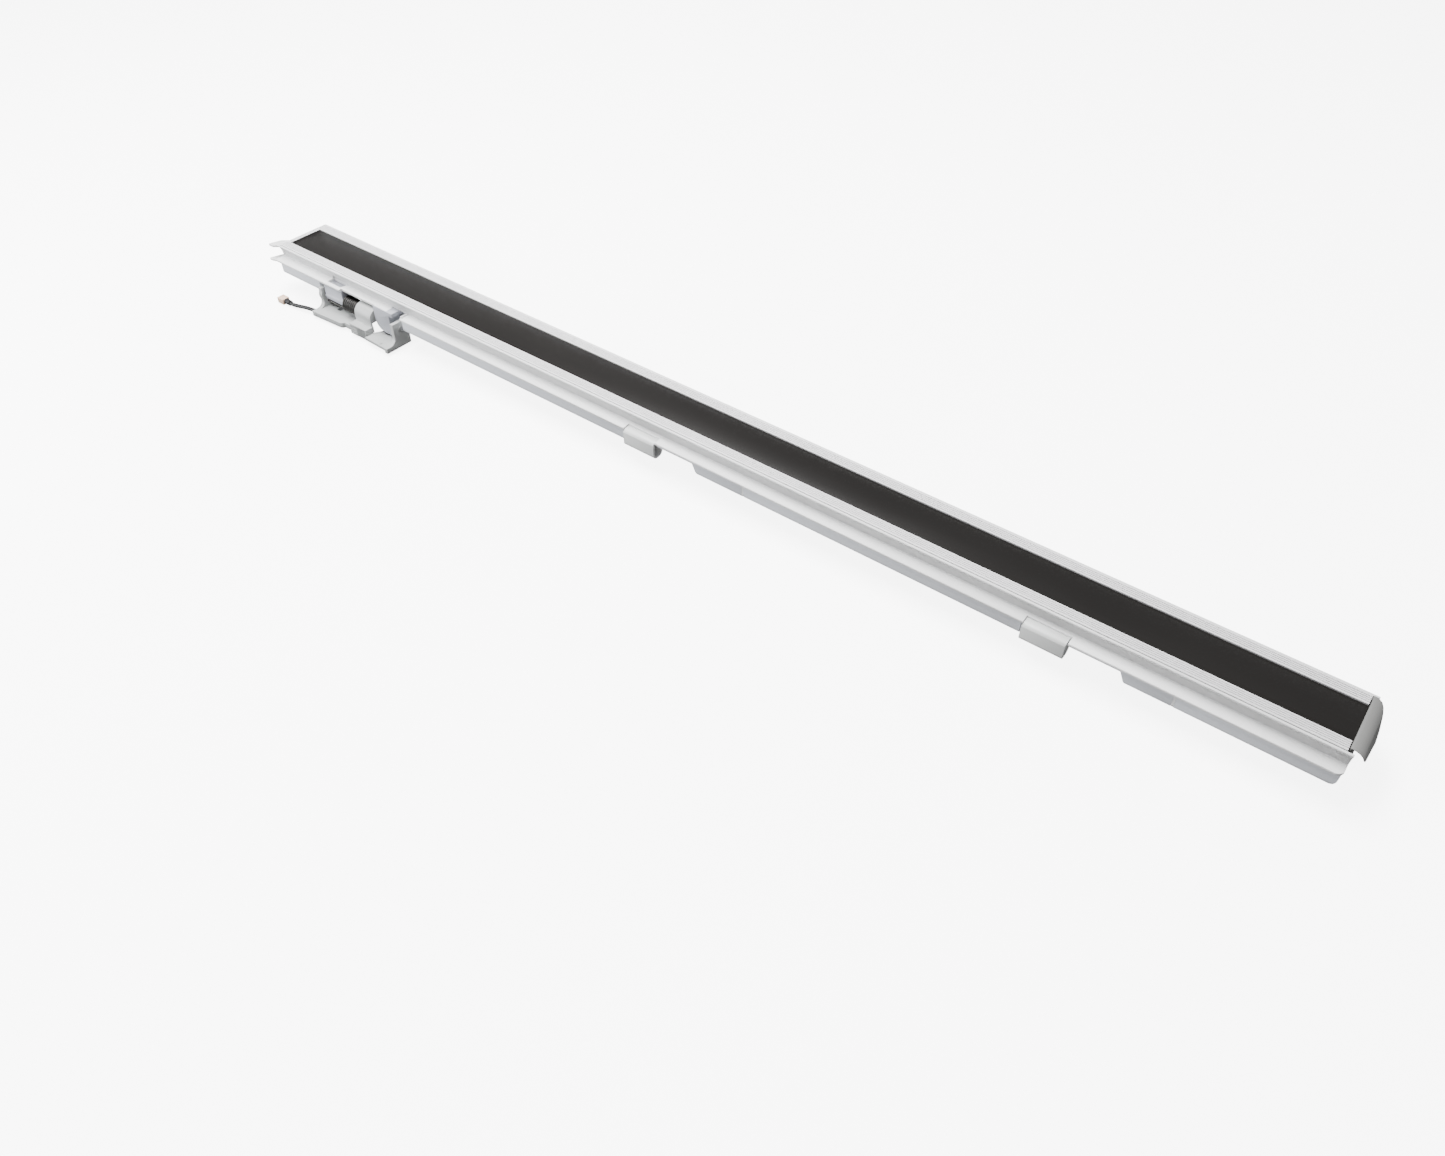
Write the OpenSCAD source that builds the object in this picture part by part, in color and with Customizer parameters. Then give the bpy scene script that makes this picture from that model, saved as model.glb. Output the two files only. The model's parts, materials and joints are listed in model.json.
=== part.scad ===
// Refrigerator door mullion: a hinged seal bar for a pair of doors.
// X runs along the bar, towards the guide nose. Z points out of the seal face.
// The origin is the middle of the seal plate's outer face. Millimetres.

/* [Bar] */
// Visible length of the seal plate
plate_l = 780; // [760:5:800]
// Visible width of the seal plate between the rails
plate_w = 27.3; // [26:0.1:27.6]
// Outer width across the two ribbed rails
rails_w = 41; // [40.6:0.1:41.2]
// Height of the rails above the seal plate
rail_h = 1.2; // [0.8:0.1:1.6]
// Number of fine grooves along each rail
rail_grooves = 4; // [0:1:4]
// Width over the two ledges
ledge_w = 54; // [53:0.2:54.4]
// Width of the rear box
box_w = 51; // [49:0.5:52]
// Depth from the seal plate's face to the back of the bar
bar_depth = 20.2; // [19:0.2:21]
// Wall thickness of the rear covers
cover_t = 1.6; // [1.2:0.1:1.8]

/* [Hinge] */
// Radius of the hinge pin
pin_r = 1.5; // [1.2:0.1:1.8]
// Outer radius of the spring barrel
barrel_r = 7.4; // [6.6:0.1:7.6]
// Hole radius for the bracket's mounting screws
mount_hole_r = 2.1; // [1.6:0.1:2.5]
// Distance between the bracket's mounting screws
mount_spacing = 56; // [50:1:60]
// Turns of the torsion spring
spring_turns = 8; // [5:1:8]

/* [Lead] */
// Diameter of the heater lead
lead_d = 3; // [2.4:0.1:3.2]

/* [Hidden] */

$fn = 48;
eps = 0.02;
gap = 0.4;

// Bar, along X
x_end = plate_l / 2;
x_border = -x_end - 4.5;
x_plate_l = -x_end - 3;
x_border_in = -x_end - 1.4;
x_rail_r = x_end - 0.5;
x_housing_l = -x_end - 2.5;
x_ledge_r = x_end + 2.8;
x_nose = x_end + 9.4;
x_tab = -x_end - 13.5;

// Bar, across
rail_in = plate_w / 2;
rail_out = rails_w / 2;
ledge_y = ledge_w / 2;
box_y = box_w / 2;
plate_t = 0.8;
foil_t = 0.2;
web_top = -9;
web_low = -10.6;
foam_y = 17.2;
foam_top = -3.3;
wire_r = 1;
wire_y = 9;
seam_l = 49.6;
seam_r = 314.4;
seam_gap = 1.4;

// Hinge axis and pieces along it
axis_y = -23.4;
axis_z = -20.6;
bay_l = -346.5;
bay_r = -254;
bay_y = -15.2;
block_l = -340;
block_r = -320;
barrel_l = -302;
barrel_r_x = -284.6;
hbox_l = -282.8;
hbox_r = -266.5;
shelf_r = -269.5;
cheek_l = -345;
cheek_l_t = 3.5;
cheek_r = -261.8;
cheek_r_t = 3;
bracket_l = -344;
bracket_r = cheek_r + cheek_r_t;
run = 0.05;
bush_r = 2.6;
base_top = -29.8;
base_low = -33.8;
cheek_top_r = 6;

// Catch hooks and the notches behind them
hook_x = [-42.5, 232.5];
hook_l = 24.5;
hook_y = -27.6;
hook_back = -18.8;
hook_top = -10.7;
hook_low = -23;
hook_t = 1.3;
notch_l = 53.5;
notch_strip = 2.2;
notch_y = -17;

// Heater lead: chosen points on its route, from the bracket's end outwards
lead_route = [[-345.6, -35.5, -31.8], [-348, -35.5, -31.8], [-353, -36, -32],
              [-359, -37, -32.4], [-365, -38.1, -32.9], [-369, -38.6, -33.1],
              [-372, -38.6, -33.1], [-377.5, -38.6, -33.1]];
lead_sides = 8;
sleeve_l = 5.4;
connector_size = [7, 6, 4.4];

// Screws through the rear covers
screw_x = [-380, -60, 60, 225, 325, 378];
screw_shaft_r = 1.3;
screw_head_r = 2.7;
screw_head_h = 1.6;
nose_screw_x = x_end - 7;
nose_screw_y = [-9, 9];
mount_x = -302;
grommet_r = 1.7;
lead_y = lead_route[0][1];
lead_z = lead_route[0][2];
tip = lead_route[len(lead_route) - 1];

// ---- helpers ----

// Prism along X from x0 to x1 with a profile given in Y and Z
module along_x(x0, x1) {
    translate([x0, 0, 0])
        rotate([90, 0, 90])
            linear_extrude(x1 - x0) children();
}

// Prism along Y from y0 to y1 with a profile given in X and Z
module along_y(y0, y1) {
    translate([0, y1, 0])
        rotate([90, 0, 0])
            linear_extrude(y1 - y0) children();
}

// Box between two corners
module block(a, b) {
    translate(a) cube(b - a);
}

// Cylinder along the hinge axis
module on_axis(r, x0, x1) {
    translate([x0, axis_y, axis_z])
        rotate([0, 90, 0]) cylinder(r = r, h = x1 - x0);
}

// Tube swept along a list of points
function unit(v) = v / norm(v);
function tangent(p, i) = unit(p[min(i + 1, len(p) - 1)] - p[max(i - 1, 0)]);
function ring(p, i, r, n) =
    let (t = tangent(p, i), u = unit(cross(t, [0, 0, 1])), v = cross(u, t))
    [for (k = [0:n - 1]) p[i] + r * (cos(360 * k / n) * u + sin(360 * k / n) * v)];

module sweep(p, r, n) {
    m = len(p);
    points = [for (i = [0:m - 1]) each ring(p, i, r, n)];
    sides = [for (i = [0:m - 2], k = [0:n - 1])
        let (a = i * n + k, b = i * n + (k + 1) % n)
            each [[a, b, b + n], [a, b + n, a + n]]];
    first = [[for (k = [0:n - 1]) n - 1 - k]];
    last = [[for (k = [0:n - 1]) (m - 1) * n + k]];
    polyhedron(points = points, faces = concat(first, sides, last));
}

// ---- bar ----

// Plate with edges stepped down so that the rails can hold them
module front_plate() {
    step = 0.4;
    color([0.19, 0.18, 0.17]) {
        block([x_border_in + run, -rail_in + run, -plate_t], [x_end, rail_in - run, 0]);
        block([x_plate_l, -rail_in - 1.7, -plate_t], [x_end, rail_in + 1.7, -step]);
    }
}

// Rail section on the +Y side, with fine grooves along its top
module rail_section() {
    groove_w = 0.6;
    groove_d = 0.6;
    pitch = (rail_out - rail_in) / (rail_grooves + 1);
    difference() {
        polygon([[rail_in, -0.3], [rail_in, rail_h - 0.2], [rail_in + 0.2, rail_h],
                 [rail_out - 0.3, rail_h], [rail_out, rail_h - 0.3], [rail_out, -0.9],
                 [rail_in + 2, -0.9], [rail_in + 2, -0.3]]);
        for (i = [1:1:rail_grooves])
            translate([rail_in + i * pitch - groove_w / 2, rail_h - groove_d])
                square([groove_w, 1]);
    }
}

module front_frame() {
    color([0.94, 0.94, 0.95]) {
        along_x(x_border, x_rail_r) {
            rail_section();
            mirror([1, 0]) rail_section();
        }
        block([x_border, -rail_in - 1, -0.9], [x_plate_l - eps, rail_in + 1, rail_h]);
        block([x_plate_l - 1, -rail_in - 1, -0.3], [x_border_in, rail_in + 1, rail_h - 0.4]);
    }
}

// Right half of the housing's outline, from the ledge up to the lip
outer_half = [[ledge_y, web_low], [ledge_y + 0.2, web_low + 0.5], [ledge_y, -9.2],
              [19.8, -8.6], [19.4, -8.2], [19.6, -5.8], [20.2, -3.6], [21.2, -1.6],
              [22.2, -0.4], [22.3, 0.3], [22.1, 0.6], [20.9, 0.6], [20.9, -1]];
inner_half = [[19.4, -1], [18.6, -3.2], [18, -5.6], [17.7, web_top]];

function mirrored(p) = [for (i = [len(p) - 1:-1:0]) [-p[i][0], p[i][1]]];

// Housing section: ledges, coves, lips and the trough between them
module housing_section() {
    half = concat(outer_half, inner_half);
    polygon(concat(half, mirrored(half)));
}

module housing() {
    shelf_near = -26;
    color([0.92, 0.92, 0.93])
        difference() {
            union() {
                along_x(x_housing_l, x_ledge_r) housing_section();
                // Stop rib where the ledge starts again beyond the hinge
                block([bay_r, -26, -10], [bay_r + 1.4, -18.6, -7.8]);
            }
            // Rounded ends of the ledges beside the nose
            for (s = [-1, 1])
                difference() {
                    block([x_ledge_r - 4, min(s * 23, s * 30), -12],
                          [x_ledge_r + 1, max(s * 23, s * 30), -7]);
                    translate([x_ledge_r - 4, s * (ledge_y - 4), -13])
                        cylinder(r = 4.1, h = 8);
                }
            hinge_window();
            web_holes();
            // Ledge trimmed clear of the spring barrel and of the hinge box
            block([-320.6, -30, -13], [-283, -25, -7]);
            block([hbox_l - gap, -30, -13], [shelf_r + 1, shelf_near, -7]);
            // Open recess beyond the shelf, for the bracket's cheek
            block([shelf_r, -30, -13], [bay_r, -17.8, -8.3]);
            // Shallow notches where the catch hooks clip in
            for (x = hook_x)
                block([x, -30, -13], [x + hook_l + 1, -21.8, -7]);
        }
}

// Window in the ledge over the hinge block
module hinge_window() {
    translate([0, 0, -13])
        linear_extrude(7)
            polygon([[-337.4, -24.2], [-322.6, -24.2], [-319.8, -18.4], [-336.4, -18.4]]);
}

// Screw holes in the web
module web_holes() {
    for (x = screw_x)
        translate([x, 0, web_low - 1]) cylinder(r = screw_shaft_r, h = 2);
    for (y = nose_screw_y)
        translate([nose_screw_x, y, web_low - 1]) cylinder(r = screw_shaft_r, h = 3);
}

// Channel section of the rear covers, open towards the housing's web
module cover_section(inset = 0) {
    r = 2;
    y = box_y - inset;
    low = -bar_depth + inset;
    top = web_low - eps;
    difference() {
        polygon([[-y, top], [-y, low + r], [-y + 0.6, low + 0.6], [-y + r, low], [y - r, low],
                 [y - 0.6, low + 0.6], [y, low + r], [y, top]]);
        translate([-box_y + cover_t, -bar_depth + cover_t])
            square([box_w - 2 * cover_t, bar_depth]);
    }
}

// Strip that closes the gap between two covers
module seam_strip(x) {
    w = seam_gap / 2 - run;
    color([0.97, 0.97, 0.97])
        along_x(x - w, x + w) cover_section(0.12);
}

module seam_strip_left() {
    seam_strip(seam_l);
}

module seam_strip_right() {
    seam_strip(seam_r);
}

// Boss for a cover screw, from the cover's floor up to the web
module cover_boss(x) {
    translate([x, 0, -bar_depth + 0.4])
        cylinder(r = 4, h = bar_depth + web_low - 0.4 - eps);
}

module cover_boss_cut(x) {
    translate([x, 0, -bar_depth - 1]) cylinder(r = screw_head_r + 0.2, h = 1 + screw_head_h + 0.2);
    translate([x, 0, -bar_depth - 1]) cylinder(r = screw_shaft_r, h = 20);
}

module end_wall(x0) {
    block([x0, -box_y + 1, -bar_depth + 1], [x0 + cover_t, box_y - 1, web_low - eps]);
}

// Notch behind a catch hook, cut from the near wall and the floor
module hook_notch(x) {
    along_y(-30, notch_y)
        polygon([[x - 1, web_low + 1], [x - 1, -bar_depth - 1],
                 [x + notch_l + 4, -bar_depth - 1], [x + notch_l, web_low - notch_strip],
                 [x + hook_l + 1, web_low - notch_strip], [x + hook_l + 1, web_low + 1]]);
}

module notch_wall(x) {
    block([x - 2, notch_y, -bar_depth + 1], [x + notch_l + 5, notch_y + 1.4, web_low - eps]);
}

module rear_cover(x0, x1, screws) {
    difference() {
        union() {
            along_x(x0, x1) cover_section();
            for (x = screws) cover_boss(x);
            children();
        }
        for (x = screws) cover_boss_cut(x);
    }
}

module rear_cover_left() {
    color([0.9, 0.91, 0.94])
        difference() {
            rear_cover(x_housing_l, seam_l - seam_gap / 2, [screw_x[0], screw_x[1]]) {
                end_wall(x_housing_l);
                block([bay_l - 1.4, -box_y + 1, -bar_depth + 1], [bay_l, bay_y + 1.4, web_low - eps]);
                block([bay_r, -box_y + 1, -bar_depth + 1], [bay_r + 1.4, bay_y + 1.4, web_low - eps]);
                block([bay_l - 1.4, bay_y, -bar_depth + 1], [bay_r + 1.4, bay_y + 1.4, web_low - eps]);
                notch_wall(hook_x[0]);
            }
            block([bay_l, -30, -bar_depth - 1], [bay_r, bay_y, 0]);
            hook_notch(hook_x[0]);
        }
}

module rear_cover_mid() {
    color([0.9, 0.91, 0.94])
        difference() {
            rear_cover(seam_l + seam_gap / 2, seam_r - seam_gap / 2, [screw_x[2], screw_x[3]])
                notch_wall(hook_x[1]);
            hook_notch(hook_x[1]);
        }
}

module rear_cover_right() {
    color([0.9, 0.91, 0.94])
        difference() {
            rear_cover(seam_r + seam_gap / 2, x_ledge_r - 0.6, [screw_x[4], screw_x[5]])
                end_wall(x_ledge_r - 0.6 - cover_t);
            // Rounded lower corner at the end
            along_y(-30, 30)
                difference() {
                    translate([x_ledge_r - 5.6, -bar_depth - 1]) square([6, 6]);
                    translate([x_ledge_r - 5.6, -bar_depth + 5]) circle(r = 5);
                }
        }
}

module left_end_cap() {
    tab_t = 1.4;
    x0 = x_border - 1.5;
    color([0.94, 0.94, 0.95]) {
        difference() {
            // End plate with the outline of the housing
            along_x(x0, x_housing_l - eps)
                polygon(concat(outer_half, mirrored(outer_half)));
            // Seat of the front frame
            block([x_border - eps, -rail_out - 0.5, -0.9 - eps], [0, rail_out + 0.5, 5]);
            // The end leans back at the far side
            translate([x0 - 1, 12, -20]) cube([1.7, 20, 30]);
        }
        // Lip tab on the near corner
        translate([0, 0, 0.6 - tab_t])
            linear_extrude(tab_t)
                polygon([[x_tab, -24.4], [x_tab + 0.6, -25], [x_tab + 5, -24.9],
                         [x0 + 1, -22.2], [x0 + 1, -12], [x0, -12], [x_tab + 3, -15.6]]);
        // Ledge tab below it
        translate([0, 0, web_low])
            linear_extrude(tab_t)
                polygon([[x_tab + 1.5, -27.6], [x_tab + 2.1, -28.2], [x_tab + 5, -28.2],
                         [x0 + 1, -27], [x0 + 1, -14], [x0, -14], [x_tab + 4.5, -19]]);
    }
}

// Dome profile of the nose in X and Z, and its outline seen from above
module nose_profile(d) {
    polygon([[x_end + 0.1 + d, rail_h - 0.1 - d], [x_end + 1.4, rail_h - 0.1 - d],
             [x_end + 2.8, rail_h - 0.25 - d], [x_end + 4.6 - d * 0.3, rail_h - 0.8 - d],
             [x_end + 6.6 - d * 0.7, rail_h - 2.3 - d * 0.6],
             [x_end + 8.2 - d, rail_h - 4.7 - d * 0.3], [x_end + 9.2 - d, rail_h - 7.6],
             [x_end + 9.4 - d, web_low + 1.2 - d * 4], [x_end + 0.1 + d, web_low + 1.2 - d * 4]]);
}

module nose_outline(d) {
    polygon([[x_end + 0.1 + d, -18.6 + d], [x_end + 8.1 - d, -18.6 + d],
             [x_end + 8.8 - d, -15.4], [x_end + 9.4 - d, -10], [x_end + 9.4 - d, -4],
             [x_end + 8.5 - d, 4], [x_end + 7 - d, 13], [x_end + 5.8 - d, 17.2],
             [x_end + 4.2 - d * 0.7, 19.4 - d * 0.7], [x_end + 2 - d * 0.3, 20.4 - d],
             [x_end + 0.1 + d, 20.5 - d]]);
}

module nose_solid(d) {
    intersection() {
        along_y(-25, 25) nose_profile(d);
        translate([0, 0, -20]) linear_extrude(30) nose_outline(d);
    }
}

module guide_nose() {
    x_clear = x_ledge_r + 0.3;
    color([0.8, 0.8, 0.79])
        difference() {
            union() {
                difference() {
                    nose_solid(0);
                    nose_solid(1.4);
                    // Open near side: only the edge of the dome shows there
                    along_y(-25, -16.5) nose_profile(0.5);
                }
                // Tongue that lies on the web, with the screw holes
                block([x_end - 14, -15, web_top + eps], [x_end + 1, 15, web_top + 1.6]);
            }
            // Room for the coves and for the web
            for (s = [0, 1])
                mirror([0, s, 0])
                    block([x_end - 1, 17.5, -15], [x_clear, 30, -0.95]);
            block([x_end - 20, -30, -15], [x_clear, 30, web_top + eps]);
            // Slanted lower edge of the dome
            along_x(x_clear, x_nose + 2)
                polygon([[-30, -1.4], [-18.6, -3.2], [20.2, -9.4], [30, -11], [30, -20], [-30, -20]]);
            for (y = nose_screw_y)
                translate([nose_screw_x, y, web_top - 2]) cylinder(r = screw_shaft_r, h = 6);
            // Small dimple on the crown
            translate([x_end + 6.2, 1, rail_h - 1.1]) sphere(r = 0.5, $fn = 16);
        }
}

module foam_core() {
    color([0.93, 0.9, 0.8])
        block([-x_end, -foam_y, web_top + eps], [x_end - 15, foam_y, foam_top]);
}

module heater_foil() {
    color([0.75, 0.76, 0.78])
        block([-x_end + 6, -12, -plate_t - foil_t], [x_end - 16, 12, -plate_t]);
}

// Heater wire: a long loop laid under the foil
module heater_wire() {
    z = -plate_t - foil_t - wire_r - 0.02;
    x0 = -x_end + 16;
    x1 = x_end - 30;
    color([0.85, 0.3, 0.25]) {
        for (s = [-1, 1])
            translate([x0, s * wire_y, z]) rotate([0, 90, 0]) cylinder(r = wire_r, h = x1 - x0);
        translate([x1, 0, z])
            rotate([0, 0, -90])
                rotate_extrude(angle = 180) translate([wire_y, 0]) circle(r = wire_r);
    }
}

// Half tube that hangs under the ledge's outer edge
module catch_hook(x) {
    r = 3.6;
    color([0.83, 0.84, 0.82])
        along_x(x, x + hook_l)
            difference() {
                hook_outline(0, r, 1.8);
                hook_outline(hook_t, r - hook_t, 0.8);
            }
}

// Rounded tube outline: r at the foot, r_top at the top front corner
module hook_outline(d, r, r_top) {
    y0 = hook_y + d;
    y1 = hook_back - d;
    z0 = hook_low + d;
    z1 = hook_top - d;
    hull() {
        translate([y0 + r, z0 + r]) circle(r = r);
        translate([y1 - r, z0 + r]) circle(r = r);
        translate([y0 + r_top, z1 - r_top]) circle(r = r_top);
        translate([y1 - 1, z1 - 1]) square([1, 1]);
    }
}

module catch_hook_left() {
    catch_hook(hook_x[0]);
    color([0.83, 0.84, 0.82])
        hook_clip(hook_x[0]);
}

module catch_hook_right() {
    catch_hook(hook_x[1]);
    color([0.83, 0.84, 0.82])
        hook_clip(hook_x[1]);
}

// Rounded land in the ledge's notch, a little below the ledge
module hook_clip(x) {
    along_x(x + 0.2, x + hook_l)
        polygon([[-22, -11.6], [-22, -9.9], [-25.4, -10], [-26.3, -10.3], [-26.9, -10.8],
                 [-27.3, -11.5]]);
}

// ---- hinge, bar side ----

module hinge_block() {
    color([0.75, 0.76, 0.78])
        difference() {
            union() {
                block([block_l, -26.4, axis_z], [block_r, -24.8, web_low - eps]);
                block([block_l, -26, axis_z], [block_r, -15.8, web_low - 0.1]);
                block([block_l, -16.8, axis_z], [block_r, -15.8, web_low - eps]);
                block([block_l, axis_y, axis_z - 3.7], [block_r, -15.8, axis_z + 1]);
                intersection() {
                    on_axis(3.7, block_l, block_r);
                    block([block_l, -27.2, -30], [block_r, -20, 0]);
                }
            }
            on_axis(bush_r, block_l - 1, block_r + 1);
        }
}

module hinge_box() {
    near = -27;
    far = -16;
    low = -27.2;
    rim = -8.6;
    slit = 0.7;
    color([0.72, 0.73, 0.75])
        difference() {
            union() {
                // Near wall with a large rounded lower corner
                along_y(near, near + 7.2)
                    difference() {
                        translate([hbox_l, low]) square([hbox_r - hbox_l, web_low - low - eps]);
                        difference() {
                            translate([hbox_l - 1, low - 1]) square([9, 9]);
                            translate([hbox_l + 8, low + 8]) circle(r = 8);
                        }
                    }
                block([hbox_l, near, web_low - 1], [hbox_r, near + 0.8, rim]);
                block([shelf_r + slit, near, web_low - 1], [cheek_r - 0.6, -18.2, rim]);
                block([hbox_l + 4, far - 4, low + 1], [hbox_r, far, web_low - eps]);
            }
            on_axis(bush_r, hbox_l - 1, hbox_r + 1);
            // Hollow of the bucket behind the bearing
            block([hbox_l + 6, -18.6, -17], [hbox_r - 1.6, far + 1, web_low + 1]);
        }
}

module bush(x0, x1) {
    color([0.86, 0.84, 0.76])
        difference() {
            on_axis(bush_r, x0, x1);
            on_axis(pin_r + run, x0 - 1, x1 + 1);
        }
}

module bush_left() {
    bush(block_l, block_r);
}

module bush_right() {
    bush(hbox_l, hbox_r);
}

// Torsion spring wound round the pin, with a straight leg under the hinge block
module torsion_spring() {
    wire = 0.8;
    coil = 5.1;
    steps = 12;
    start = 250;
    count = spring_turns * steps;
    x0 = block_r + wire + 0.2;
    pitch = (barrel_l - block_r - 2 * wire - 0.8) / spring_turns;
    leg_y = axis_y + coil * cos(start);
    leg_z = axis_z + coil * sin(start);
    leg = [[cheek_l + cheek_l_t + 0.6, leg_y, leg_z], [x0 - 1.6, leg_y, leg_z]];
    turns = [for (i = [0:count])
        [x0 + pitch * i / steps, axis_y + coil * cos(360 * i / steps + start),
         axis_z + coil * sin(360 * i / steps + start)]];
    color([0.24, 0.24, 0.25])
        sweep(concat(leg, turns), wire, 6);
}

// Dark pad in the pocket behind the spring
module pocket_liner() {
    color([0.13, 0.13, 0.13]) {
        block([block_r + 0.2, bay_y - 1, -bar_depth + 1], [barrel_l - 1, bay_y - eps, web_low - 0.1]);
        block([block_r + 0.2, -24.4, web_low - 0.8], [barrel_l - 1, bay_y - 0.9, web_low - 0.1]);
        // Its tail runs on under the hinge block
        block([block_l + 0.6, -24.2, -28.2], [block_r - 0.2, -17, axis_z - 3.8]);
        block([block_r + 0.2, -17.2, -24.8], [block_r + 1, bay_y - 0.9, -bar_depth + 2]);
        block([block_r - 0.3, -17.2, -26.8], [block_r + 1, bay_y - 0.9, -24.6]);
    }
}

// ---- hinge, door side ----

module hinge_pin() {
    color([0.7, 0.71, 0.72])
        on_axis(pin_r, cheek_l, bracket_r);
}

// Cheek outline in Y and Z, joined to the base by a concave sweep
module cheek_outline(front, foot) {
    r = cheek_top_r;
    difference() {
        union() {
            translate([axis_y, axis_z]) circle(r = r);
            translate([front, axis_z]) square([axis_y - front, r]);
            translate([front, base_low]) square([axis_y + r - front, axis_z - base_low]);
            translate([foot, base_low]) square([front - foot + 1, base_top + 5 - base_low]);
        }
        // Concave sweep between the foot and the cheek's front edge
        translate([front - 5, base_top + 5]) circle(r = 5);
        translate([foot - 10, base_top]) square([front - foot + 5, 10]);
    }
}

module door_bracket() {
    foot_l = -38.6;
    foot_r = -39.4;
    color([0.84, 0.85, 0.84])
        difference() {
            union() {
                along_x(cheek_l, cheek_l + cheek_l_t) cheek_outline(-28.6, foot_l);
                along_x(cheek_r, cheek_r + cheek_r_t) cheek_outline(-30.6, foot_r);
                // Base plate: wide left pad, waist under the foot, wide right pad
                translate([0, 0, base_low])
                    linear_extrude(base_top - base_low)
                        polygon([[cheek_l, foot_l], [-315, -37], [-313, -36.2], [-312, -34.6],
                                 [-303, -34.6], [-303, -20], [cheek_l, -20]]);
                translate([0, 0, base_low + 1.6])
                    linear_extrude(base_top - base_low - 1.6)
                        polygon([[-304, -34.6], [-303, -35.5], [-285, -35.5], [-284, -38.4],
                                 [bracket_r - 0.1, foot_r], [bracket_r - 0.1, -18], [-277, -18],
                                 [-284.2, -30.6], [-304, -29.6]]);
                // Boss that brings the right screw hole down to the door
                translate([mount_x + mount_spacing / 2, -24, base_low])
                    cylinder(r = mount_hole_r + 1.7, h = 2);
                // Raised boss round the pin's end
                on_axis(pin_r + 1.5, bracket_r - 1, bracket_r + 0.5);
                // Locating boss beside the right cheek
                translate([-268, -37.2, base_top - eps]) cylinder(r = 0.8, h = 0.7);
            }
            // Pin seats
            on_axis(pin_r, cheek_l - 1, bracket_r + 1);
            // Ring groove around the pin's end, in its raised boss
            difference() {
                on_axis(pin_r + 0.9, bracket_r - 0.3, bracket_r + 1);
                on_axis(pin_r + 0.3, bracket_r - 1, bracket_r + 2);
            }
            // Mounting screw holes
            for (s = [-1, 1])
                translate([mount_x + s * mount_spacing / 2, -24, base_low - 1])
                    cylinder(r = mount_hole_r, h = 8);
            // Socket for the lead's grommet
            translate([cheek_l - 1, lead_y, lead_z]) rotate([0, 90, 0])
                cylinder(r = grommet_r, h = 7);
        }
}

// Barrel outline: a round top with an upright front, drawn in by d
module barrel_outline(d, y_back) {
    translate([axis_y, axis_z]) circle(r = barrel_r - d);
    translate([axis_y - barrel_r + d, base_top])
        square([barrel_r - d + y_back, axis_z - base_top]);
}

// Hollow shroud over the pin, open to the right and underneath, on a ribbed foot
module spring_barrel() {
    foot_top = -25.4;
    foot_y = -37;
    wall = 1.5;
    color([0.8, 0.81, 0.79])
        difference() {
            union() {
                along_x(barrel_l, barrel_r_x)
                    difference() {
                        barrel_outline(0, -2);
                        barrel_outline(wall, 10);
                    }
                along_x(barrel_l, barrel_l + wall) barrel_outline(0, 0);
                // Right end wall, closed down to below the pin
                along_x(barrel_r_x - wall, barrel_r_x)
                    intersection() {
                        barrel_outline(0, 0);
                        translate([-40, axis_z - 2.4]) square([40, 20]);
                    }
                block([barrel_l - 0.5, foot_y, base_top],
                      [barrel_r_x + 0.4, axis_y - barrel_r + wall, foot_top]);
                block([barrel_l - 0.5, foot_y, base_low + 0.1],
                      [barrel_r_x - 0.5, -35.5 - eps, base_top + 1]);
            }
            on_axis(pin_r + 0.35, barrel_l - 1, barrel_r_x + 1);
            // Upright ribs on the foot's front face
            for (i = [0:6])
                block([barrel_l + 8 + i * 1.3, foot_y - 1, base_low - 0.4],
                      [barrel_l + 8.6 + i * 1.3, foot_y + 0.9, foot_top - 0.6]);
            // Level grooves beside them
            for (i = [0:2])
                block([barrel_l + 0.4, foot_y - 1, base_top - 2.4 + i * 2],
                      [barrel_l + 6, foot_y + 0.9, base_top - 1.8 + i * 2]);
        }
}

// ---- lead ----

module lead_grommet() {
    color([0.12, 0.12, 0.12])
        translate([lead_route[0][0], lead_y, lead_z])
            rotate([0, 90, 0]) cylinder(r = grommet_r, h = 6);
}

module lead() {
    color([0.1, 0.1, 0.1])
        sweep(lead_route, lead_d / 2, lead_sides);
}

module lead_sleeve() {
    color([0.08, 0.08, 0.08])
        translate(tip)
            rotate([0, 90, 0])
                difference() {
                    cylinder(r = lead_d / 2 + 0.6, h = sleeve_l);
                    translate([0, 0, -1]) cylinder(r = lead_d / 2 + eps, h = sleeve_l + 2);
                }
}

// Contact cavity and contact share this place: s is -1 or 1
module contact_bar(s, w, depth) {
    y = s * 1.4;
    block(tip + [-connector_size[0] - eps, y - w, -w],
          tip + [-connector_size[0] + depth, y + w, w]);
}

module connector_body() {
    color([0.93, 0.84, 0.74])
        difference() {
            block(tip + [-connector_size[0], -connector_size[1] / 2, -connector_size[2] / 2],
                  tip + [0, connector_size[1] / 2, connector_size[2] / 2]);
            for (s = [-1, 1]) contact_bar(s, 0.9, 5);
        }
}

module connector_contacts() {
    color([0.8, 0.7, 0.5])
        for (s = [-1, 1])
            translate([1, 0, 0]) contact_bar(s, 0.5, 4);
}

// ---- fasteners ----

// Pan head screw, pointing up from z = 0
module pan_screw(shaft_l) {
    difference() {
        union() {
            cylinder(r = screw_head_r, h = screw_head_h);
            cylinder(r = screw_shaft_r, h = screw_head_h + shaft_l);
        }
        for (a = [0, 90])
            rotate([0, 0, a])
                translate([-1.6, -0.3, -1]) cube([3.2, 0.6, 1.8]);
    }
}

module cover_screws() {
    low = -bar_depth + 0.2;
    color([0.6, 0.61, 0.62])
        for (x = screw_x)
            translate([x, 0, low]) pan_screw(web_low + 0.8 - low - screw_head_h);
}

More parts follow.
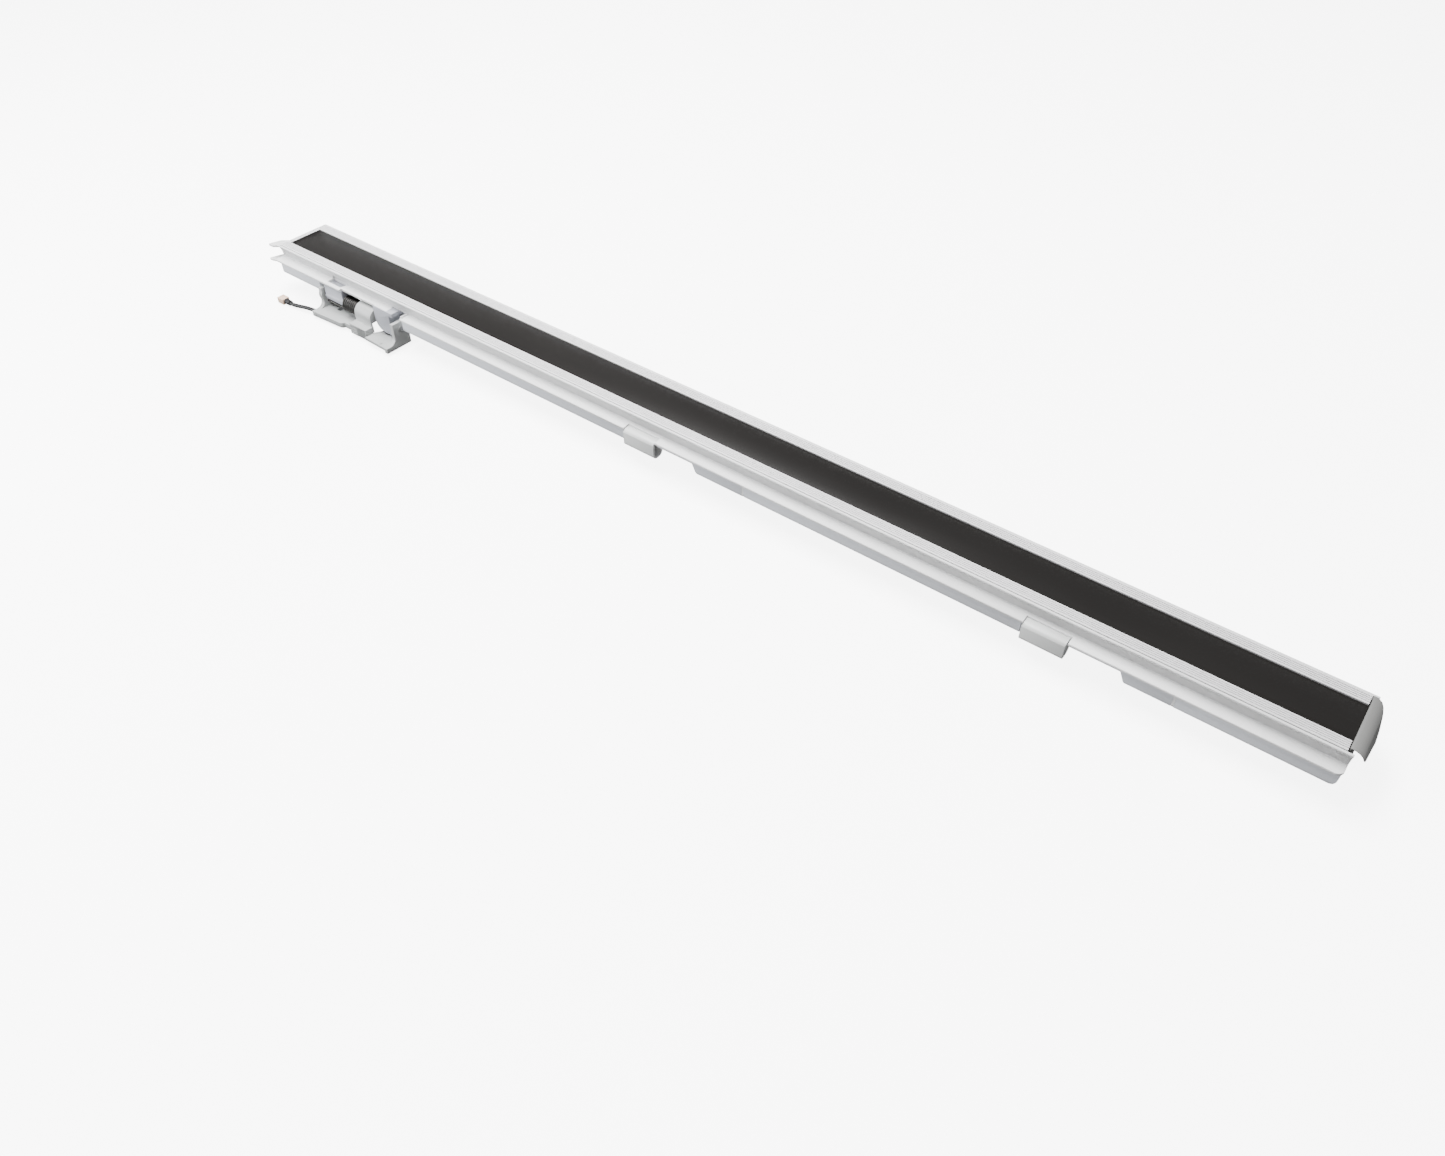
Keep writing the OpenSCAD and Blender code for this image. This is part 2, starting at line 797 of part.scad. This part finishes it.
module nose_screws() {
    head_top = web_top + 1.6 + screw_head_h;
    color([0.6, 0.61, 0.62])
        for (y = nose_screw_y)
            translate([nose_screw_x, y, head_top])
                mirror([0, 0, 1]) pan_screw(3);
}

front_plate();
front_frame();
housing();
rear_cover_left();
rear_cover_mid();
rear_cover_right();
left_end_cap();
guide_nose();
foam_core();
heater_foil();
heater_wire();
catch_hook_left();
catch_hook_right();
hinge_block();
hinge_box();
bush_left();
bush_right();
torsion_spring();
hinge_pin();
door_bracket();
spring_barrel();
lead_grommet();
lead();
lead_sleeve();
connector_body();
connector_contacts();
cover_screws();
nose_screws();
seam_strip_left();
seam_strip_right();
pocket_liner();
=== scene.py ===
"""Refrigerator door mullion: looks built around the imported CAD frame.

Metres, in the row frame: X along the bar towards the guide nose, Z out of the seal face.
"""
import json
import math

import bmesh
import bpy
from mathutils import Euler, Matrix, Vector


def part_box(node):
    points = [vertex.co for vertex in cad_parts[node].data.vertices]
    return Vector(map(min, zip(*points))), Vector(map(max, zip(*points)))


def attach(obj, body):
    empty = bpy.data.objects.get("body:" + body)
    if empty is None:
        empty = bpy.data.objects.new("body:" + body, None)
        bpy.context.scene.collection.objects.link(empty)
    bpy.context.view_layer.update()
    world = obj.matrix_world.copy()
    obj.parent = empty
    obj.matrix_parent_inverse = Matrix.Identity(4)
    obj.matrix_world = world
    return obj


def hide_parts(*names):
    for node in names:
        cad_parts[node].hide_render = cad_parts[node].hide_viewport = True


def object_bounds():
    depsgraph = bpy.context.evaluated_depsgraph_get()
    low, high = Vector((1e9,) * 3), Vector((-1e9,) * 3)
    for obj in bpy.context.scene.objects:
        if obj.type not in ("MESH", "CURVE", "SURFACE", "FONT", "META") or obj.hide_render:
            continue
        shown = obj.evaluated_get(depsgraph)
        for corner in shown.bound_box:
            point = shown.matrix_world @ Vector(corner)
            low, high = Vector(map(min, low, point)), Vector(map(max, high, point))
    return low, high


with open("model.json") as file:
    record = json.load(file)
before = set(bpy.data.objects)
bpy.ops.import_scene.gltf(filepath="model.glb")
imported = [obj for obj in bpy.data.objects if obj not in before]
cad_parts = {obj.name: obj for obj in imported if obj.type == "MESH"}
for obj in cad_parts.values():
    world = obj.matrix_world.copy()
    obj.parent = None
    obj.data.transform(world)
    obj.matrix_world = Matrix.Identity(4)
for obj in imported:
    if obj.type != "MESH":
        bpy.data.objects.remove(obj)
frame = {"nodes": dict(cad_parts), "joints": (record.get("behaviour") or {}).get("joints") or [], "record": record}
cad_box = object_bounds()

MM = 0.001
BODY_OF = {n: b for b, ns in frame["record"]["behaviour"]["bodies"].items() for n in ns}
SLOT_OF = {s["node"]: s["material_slot"] for s in frame["record"]["subparts"]}
HINGE = frame["joints"][0]


# ---- camera, floor and light ----

# Lengths in metres and turns in degrees
SENSOR = 0.036
FOCAL = 0.02784
CAMERA_AT = (0.35407, -0.44159, 0.40818)
CAMERA_TURN = (46.170, -0.138, 37.618)
FLOOR_REACH = 6
FLOOR_GAP = 0.5 * MM


def make_camera():
    """Camera at the photo's viewing angle."""
    data = bpy.data.cameras.new("camera")
    data.sensor_width = SENSOR / MM
    data.lens = FOCAL / MM
    data.clip_start = 0.01
    camera = bpy.data.objects.new("camera", data)
    camera.location = CAMERA_AT
    camera.rotation_euler = Euler([math.radians(a) for a in CAMERA_TURN], "XYZ")
    bpy.context.scene.collection.objects.link(camera)
    bpy.context.scene.camera = camera


def area_light(name, at, towards, size, power, colour=(1, 1, 1)):
    """Soft rectangular light aimed at a point."""
    data = bpy.data.lights.new(name, "AREA")
    data.shape = "RECTANGLE"
    data.size, data.size_y = size
    data.energy = power
    data.color = colour
    light = bpy.data.objects.new(name, data)
    light.location = at
    direction = Vector(towards) - Vector(at)
    light.rotation_euler = direction.to_track_quat("-Z", "Y").to_euler()
    bpy.context.scene.collection.objects.link(light)


def make_lights():
    """Large soft boxes above and beside the bar, and an even white surround."""
    area_light("key", (-0.4, -0.12, 1.42), (-0.05, 0, 0), (1.1, 0.5), 70)
    area_light("fill", (-0.85, -0.7, 0.25), (-0.45, 0, 0), (0.6, 0.4), 11, (0.96, 0.98, 1.0))
    world = bpy.data.worlds.new("surround")
    bpy.context.scene.world = world
    world.use_nodes = True
    background = world.node_tree.nodes["Background"]
    background.inputs["Color"].default_value = (1.0, 1.0, 1.0, 1)
    background.inputs["Strength"].default_value = 0.4


def make_floor():
    """Pale floor just below the lowest point of the bracket."""
    height = cad_box[0].z - FLOOR_GAP
    sides = ((-1, -1), (1, -1), (1, 1), (-1, 1))
    corners = [(x * FLOOR_REACH, y * FLOOR_REACH, height) for x, y in sides]
    mesh = bpy.data.meshes.new("floor")
    mesh.from_pydata(corners, [], [(0, 1, 2, 3)])
    floor = bpy.data.objects.new("floor", mesh)
    bpy.context.scene.collection.objects.link(floor)
    material = bpy.data.materials.new("floor")
    material.use_nodes = True
    shader = material.node_tree.nodes["Principled BSDF"]
    shader.inputs["Base Color"].default_value = (0.93, 0.93, 0.93, 1)
    shader.inputs["Roughness"].default_value = 0.9
    shader.inputs["Emission Color"].default_value = (1, 1, 1, 1)
    shader.inputs["Emission Strength"].default_value = 6
    mesh.materials.append(material)
    floor.visible_diffuse = False
    floor.visible_glossy = False


# ---- material building blocks ----

class Nodes:
    """Small helper for wiring a Principled material in object coordinates."""

    def __init__(self, name, metallic=0.0, specular=0.5, coat=0.0):
        self.material = bpy.data.materials.new(name)
        self.material.use_nodes = True
        self.tree = self.material.node_tree
        self.shader = self.tree.nodes["Principled BSDF"]
        self.shader.inputs["Metallic"].default_value = metallic
        self.shader.inputs["Specular IOR Level"].default_value = specular
        self.shader.inputs["Coat Weight"].default_value = coat
        self.place = self.new("ShaderNodeTexCoord").outputs["Object"]
        self.bump_from = None

    def new(self, kind, **settings):
        node = self.tree.nodes.new(kind)
        for key, value in settings.items():
            setattr(node, key, value)
        return node

    def link(self, source, target):
        self.tree.links.new(source, target)

    def scaled(self, scale):
        """Object coordinates stretched by a scale on each axis."""
        mapping = self.new("ShaderNodeMapping")
        mapping.inputs["Scale"].default_value = scale
        self.link(self.place, mapping.inputs["Vector"])
        return mapping.outputs["Vector"]

    def noise(self, scale, detail=4.0, stretch=(1, 1, 1)):
        node = self.new("ShaderNodeTexNoise")
        node.inputs["Scale"].default_value = scale
        node.inputs["Detail"].default_value = detail
        self.link(self.scaled(stretch), node.inputs["Vector"])
        return node.outputs["Fac"]

    def ramp(self, fac, low, high, start=0.3, end=0.7):
        """Maps a factor to a range of values or colours."""
        node = self.new("ShaderNodeMapRange")
        node.inputs["From Min"].default_value = start
        node.inputs["From Max"].default_value = end
        node.inputs["To Min"].default_value = low
        node.inputs["To Max"].default_value = high
        self.link(fac, node.inputs["Value"])
        return node.outputs["Result"]

    def mix(self, fac, a, b):
        """Mixes two colours; a and b are colours or sockets."""
        node = self.new("ShaderNodeMix", data_type="RGBA")
        self.link(fac, node.inputs["Factor"])
        for value, socket in ((a, node.inputs[6]), (b, node.inputs[7])):
            if isinstance(value, tuple):
                socket.default_value = (*value, 1)
            else:
                self.link(value, socket)
        return node.outputs[2]

    def bump(self, height, strength, distance):
        node = self.new("ShaderNodeBump")
        node.inputs["Strength"].default_value = strength
        node.inputs["Distance"].default_value = distance
        self.link(height, node.inputs["Height"])
        if self.bump_from is not None:
            self.link(self.bump_from, node.inputs["Normal"])
        self.bump_from = node.outputs["Normal"]

    def finish(self, colour, roughness):
        self.link(colour, self.shader.inputs["Base Color"])
        self.link(roughness, self.shader.inputs["Roughness"])
        if self.bump_from is not None:
            self.link(self.bump_from, self.shader.inputs["Normal"])
        return self.material


def shade(colour, factor):
    return tuple(min(1.0, c * factor) for c in colour)


def moulded(name, colour, roughness=0.4, grain=0.4, specular=0.5, painted_shade_band=None):
    """Moulded plastic: faint flow marks, fine orange peel and a little handling dust.

    Its last argument gives the middle height, the reach and the shade of a band of heights that is darkened:
    painted shade, for the shade in grooves and under lips.
    """
    n = Nodes(name, specular=specular)
    flow = n.noise(26, 3, (0.25, 1, 1))
    dust = n.noise(240, 6)
    peel = n.noise(1500, 2)
    tint = n.mix(n.ramp(flow, 0, 1), shade(colour, 0.965), shade(colour, 1.02))
    tint = n.mix(n.ramp(dust, 0, 0.22, 0.58, 0.8), tint, shade(colour, 0.86))
    # Painted shade: a band of heights is darkened to stand in for the shade in grooves and under lips.
    if painted_shade_band:
        middle, reach, band_shade = painted_shade_band
        split = n.new("ShaderNodeSeparateXYZ")
        n.link(n.place, split.inputs[0])
        below = n.new("ShaderNodeMath", operation="SUBTRACT")
        n.link(split.outputs["Z"], below.inputs[0])
        below.inputs[1].default_value = middle
        away = n.new("ShaderNodeMath", operation="ABSOLUTE")
        n.link(below.outputs[0], away.inputs[0])
        tint = n.mix(n.ramp(away.outputs[0], 1, 0, reach * 0.86, reach), tint,
                     shade(colour, band_shade))
    rough = n.ramp(n.noise(70, 5), roughness - 0.06, roughness + 0.1)
    n.bump(peel, grain, 0.00006)
    n.bump(flow, 0.15, 0.0002)
    return n.finish(tint, rough)


def painted_steel(name, colour):
    """Dark satin paint on pressed steel: fine texture, soft smears and a few hairline rubs."""
    n = Nodes(name, specular=0.2)
    texture = n.noise(2600, 3)
    smear = n.noise(9, 5, (0.5, 2.5, 1))
    rub = n.noise(60, 8, (0.06, 9, 1))
    tint = n.mix(n.ramp(smear, 0, 1), shade(colour, 0.9), shade(colour, 1.12))
    tint = n.mix(n.ramp(rub, 0, 0.35, 0.66, 0.82), tint, shade(colour, 1.9))
    rough = n.ramp(smear, 0.3, 0.4)
    n.bump(texture, 0.35, 0.00004)
    return n.finish(tint, rough)


def drawn_steel(name, colour, roughness=0.28, along=(0.05, 1, 1)):
    """Bare or plated steel with drawing marks along its length."""
    n = Nodes(name, metallic=1.0)
    marks = n.noise(900, 4, along)
    stain = n.noise(120, 5)
    tint = n.mix(n.ramp(stain, 0, 1), shade(colour, 0.82), shade(colour, 1.1))
    rough = n.ramp(marks, roughness - 0.08, roughness + 0.14)
    n.bump(marks, 0.3, 0.00004)
    return n.finish(tint, rough)


def soft_sheath(name, colour, roughness=0.5):
    """PVC or silicone sheath with extrusion lines along it and a dusty bloom."""
    n = Nodes(name, specular=0.4)
    lines = n.noise(700, 3, (0.08, 1, 1))
    bloom = n.noise(180, 6)
    tint = n.mix(n.ramp(bloom, 0, 1), shade(colour, 0.8), shade(colour, 1.6))
    n.bump(lines, 0.3, 0.00008)
    return n.finish(tint, n.ramp(bloom, roughness - 0.08, roughness + 0.12))


def foamed(name, colour):
    """Rigid foam with open cells on its cut faces."""
    n = Nodes(name, specular=0.2)
    cells = n.new("ShaderNodeTexVoronoi")
    cells.inputs["Scale"].default_value = 900
    n.link(n.place, cells.inputs["Vector"])
    age = n.noise(18, 4)
    tint = n.mix(n.ramp(age, 0, 1), shade(colour, 0.9), shade(colour, 1.05))
    tint = n.mix(n.ramp(cells.outputs["Distance"], 0.3, 0, 0, 0.5), tint, shade(colour, 0.7))
    n.bump(cells.outputs["Distance"], 0.6, 0.0002)
    return n.finish(tint, n.ramp(age, 0.85, 0.95))


MATERIALS = {
    "dark_steel": painted_steel("dark_steel", (0.0105, 0.0095, 0.009)),
    # The frame's band darkens it below the rail tops: painted shade in the rail grooves.
    "white_frame": moulded("white_frame", (0.88, 0.87, 0.88), 0.4,
                           painted_shade_band=(-0.2 * MM, 0.94 * MM, 0.42)),
    # The housing's band darkens the cove under the rail's lip: painted shade.
    "white_housing": moulded("white_housing", (0.86, 0.86, 0.86), 0.42,
                             painted_shade_band=(-4.8 * MM, 3.75 * MM, 0.66)),
    "white_cover": moulded("white_cover", (0.86, 0.88, 0.93), 0.45),
    "nose_plastic": moulded("nose_plastic", (0.205, 0.205, 0.2), 0.4),
    "hook_plastic": moulded("hook_plastic", (0.74, 0.75, 0.74), 0.45),
    "hinge_plastic": moulded("hinge_plastic", (0.41, 0.42, 0.46), 0.42),
    "bracket_plastic": moulded("bracket_plastic", (0.43, 0.44, 0.435), 0.4),
    "bush_plastic": moulded("bush_plastic", (0.70, 0.67, 0.55), 0.35),
    "foam": foamed("foam", (0.80, 0.74, 0.55)),
    "foil": drawn_steel("foil", (0.78, 0.79, 0.80), 0.3, (1, 1, 1)),
    "heater_silicone": soft_sheath("heater_silicone", (0.50, 0.09, 0.06)),
    "spring_steel": drawn_steel("spring_steel", (0.075, 0.073, 0.07), 0.45, (1, 1, 1)),
    "pin_steel": drawn_steel("pin_steel", (0.62, 0.63, 0.65), 0.25),
    "screw_zinc": drawn_steel("screw_zinc", (0.58, 0.59, 0.58), 0.32, (1, 1, 0.1)),
    "lead_pvc": soft_sheath("lead_pvc", (0.012, 0.012, 0.012)),
    "sleeve_pvc": soft_sheath("sleeve_pvc", (0.010, 0.010, 0.011), 0.6),
    "connector_nylon": moulded("connector_nylon", (0.83, 0.60, 0.45), 0.4),
    "contact_metal": drawn_steel("contact_metal", (0.62, 0.56, 0.42), 0.25),
    # Whiter than the covers: a painted highlight standing in for the lit end faces seen through the cover seams.
    "strip_white": moulded("strip_white", (0.98, 0.98, 0.98), 0.35),
    # Near-black liner for the pocket_liner: a dark sheet standing in for the shade in the spring pocket and under
    # the hinge block (painted shade).
    "liner_rubber": soft_sheath("liner_rubber", (0.013, 0.013, 0.014), 0.7),
}


# ---- pieces ----

def dressed(obj, node):
    """Gives a piece its node's material."""
    obj.data.materials.clear()
    obj.data.materials.append(MATERIALS[SLOT_OF[node]])


def link_piece(name, mesh):
    piece = bpy.data.objects.new(name, mesh)
    bpy.context.scene.collection.objects.link(piece)
    return piece


def stand_for(piece, node):
    """The piece takes the node's place, body, material and slot."""
    dressed(piece, node)
    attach(piece, BODY_OF[node])
    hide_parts(node)
    return piece


def shade_by_angle(mesh, degrees):
    """Smooth faces, with edges sharper than an angle kept crisp."""
    limit = math.radians(degrees)
    for face in mesh.faces:
        face.smooth = True
    for edge in mesh.edges:
        if len(edge.link_faces) == 2:
            edge.smooth = edge.calc_face_angle(0) < limit


def rounded(node, radius, segments=2, angle=35):
    """A copy of a node's mesh with its edges rounded like moulded or pressed ones."""
    bm = bmesh.new()
    bm.from_mesh(frame["nodes"][node].data)
    bmesh.ops.remove_doubles(bm, verts=bm.verts, dist=1e-6)
    bmesh.ops.dissolve_limit(bm, angle_limit=math.radians(1.0), verts=bm.verts, edges=bm.edges)
    limit = math.radians(angle)
    sharp = [e for e in bm.edges if len(e.link_faces) == 2 and e.calc_face_angle(0) > limit]
    bmesh.ops.bevel(bm, geom=sharp, offset=radius, offset_type="OFFSET", segments=segments,
                    profile=0.5, affect="EDGES", clamp_overlap=True)
    bmesh.ops.recalc_face_normals(bm, faces=bm.faces)
    shade_by_angle(bm, 40)
    mesh = bpy.data.meshes.new("soft_" + node)
    bm.to_mesh(mesh)
    bm.free()
    return stand_for(link_piece("piece_" + node, mesh), node)


def kept(node):
    """A CAD node that stays as it is, with its finished material."""
    dressed(frame["nodes"][node], node)


def tube(name, points, radius, resolution=6):
    """A round tube along a smooth curve through points."""
    curve = bpy.data.curves.new(name, "CURVE")
    curve.dimensions = "3D"
    curve.bevel_depth = radius
    curve.bevel_resolution = resolution
    curve.use_fill_caps = True
    spline = curve.splines.new("POLY")
    spline.points.add(len(points) - 1)
    for place, p in zip(spline.points, points):
        place.co = (*p, 1)
    spline.use_smooth = True
    return link_piece(name, curve)


def smooth_route(points, steps):
    """Catmull-Rom curve through the route's points."""
    p = [Vector(q) for q in points]
    p = [2 * p[0] - p[1], *p, 2 * p[-1] - p[-2]]
    out = []
    for a, b, c, d in zip(p, p[1:], p[2:], p[3:]):
        for i in range(steps):
            t = i / steps
            out.append(0.5 * (2 * b + (c - a) * t + (2 * a - 5 * b + 4 * c - d) * t * t
                              + (3 * b - a - 3 * c + d) * t ** 3))
    return [*out, p[-2]]


# Route of the lead in millimetres, as in the part's source
LEAD_ROUTE = [(-345.6, -35.5, -31.8), (-348, -35.5, -31.8), (-353, -36, -32),
              (-359, -37, -32.4), (-365, -38.1, -32.9), (-369, -38.6, -33.1),
              (-372, -38.6, -33.1), (-377.5, -38.6, -33.1)]
LEAD_D = 3 * MM


def make_lead():
    """The heater lead, from the bracket's end to its connector."""
    points = smooth_route([[c * MM for c in p] for p in LEAD_ROUTE], 4)
    lead = tube("piece_lead", points, LEAD_D / 2)
    lead.data.materials.append(MATERIALS["lead_pvc"])
    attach(lead, BODY_OF["lead"])
    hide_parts("lead")
    others = [rounded("lead_grommet", 0.25 * MM), rounded("lead_sleeve", 0.15 * MM),
              rounded("connector_body", 0.3 * MM), rounded("connector_contacts", 0.1 * MM)]


def make_spring():
    """Torsion spring wound round the pin, with its straight leg under the hinge block."""
    low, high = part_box("torsion_spring")
    wire_r, coil_r = 0.8 * MM, 5.1 * MM
    tube_r = wire_r * 0.96
    leg_gap = 0.1 * MM
    bend_from, bend_to = 2.2 * MM, 0.8 * MM
    centre = Vector(HINGE["pos_m"])
    turns, steps = 8, 28
    count = turns * steps
    start = math.radians(250)
    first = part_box("hinge_block")[1].x + wire_r + 0.2 * MM
    span = high.x - wire_r - first

    def around(x, angle):
        return (x, centre.y + coil_r * math.cos(angle), centre.z + coil_r * math.sin(angle))

    leg = [around(low.x + leg_gap, start), around(first - bend_from, start),
           around(first - bend_to, start + 0.05)]
    coils = [around(first + span * i / count, math.tau * i / steps + start)
             for i in range(1, count + 1)]
    spring = tube("piece_torsion_spring", leg + coils, tube_r, resolution=3)
    spring.data.materials.append(MATERIALS["spring_steel"])
    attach(spring, BODY_OF["torsion_spring"])
    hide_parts("torsion_spring")


make_camera()
make_lead()
make_lights()
make_floor()

# Nodes that get rounded edges, with the radius of each in millimetres
ROUNDED = {
    "front_plate": 0.15, "front_frame": 0.12, "housing": 0.25, "rear_cover_left": 0.35,
    "rear_cover_mid": 0.35, "rear_cover_right": 0.35, "left_end_cap": 0.3,
    "guide_nose": 0.15, "catch_hook_left": 0.3, "catch_hook_right": 0.3,
    "hinge_block": 0.4, "hinge_box": 0.4, "hinge_pin": 0.3, "door_bracket": 0.4,
    "spring_barrel": 0.25, "cover_screws": 0.15, "nose_screws": 0.15,
}
# Nodes that keep their CAD mesh; pocket_liner among them is a black liner standing in for the shade in the spring
# pocket and under the hinge block (painted shade)
KEPT = ("foam_core", "heater_foil", "heater_wire", "bush_left", "bush_right",
        # The seam strips are whiter strips in the cover seams: painted highlight for the lit seams.
        "seam_strip_left", "seam_strip_right", "pocket_liner")

for name, radius in ROUNDED.items():
    rounded(name, radius * MM)
make_spring()
for name in KEPT:
    kept(name)
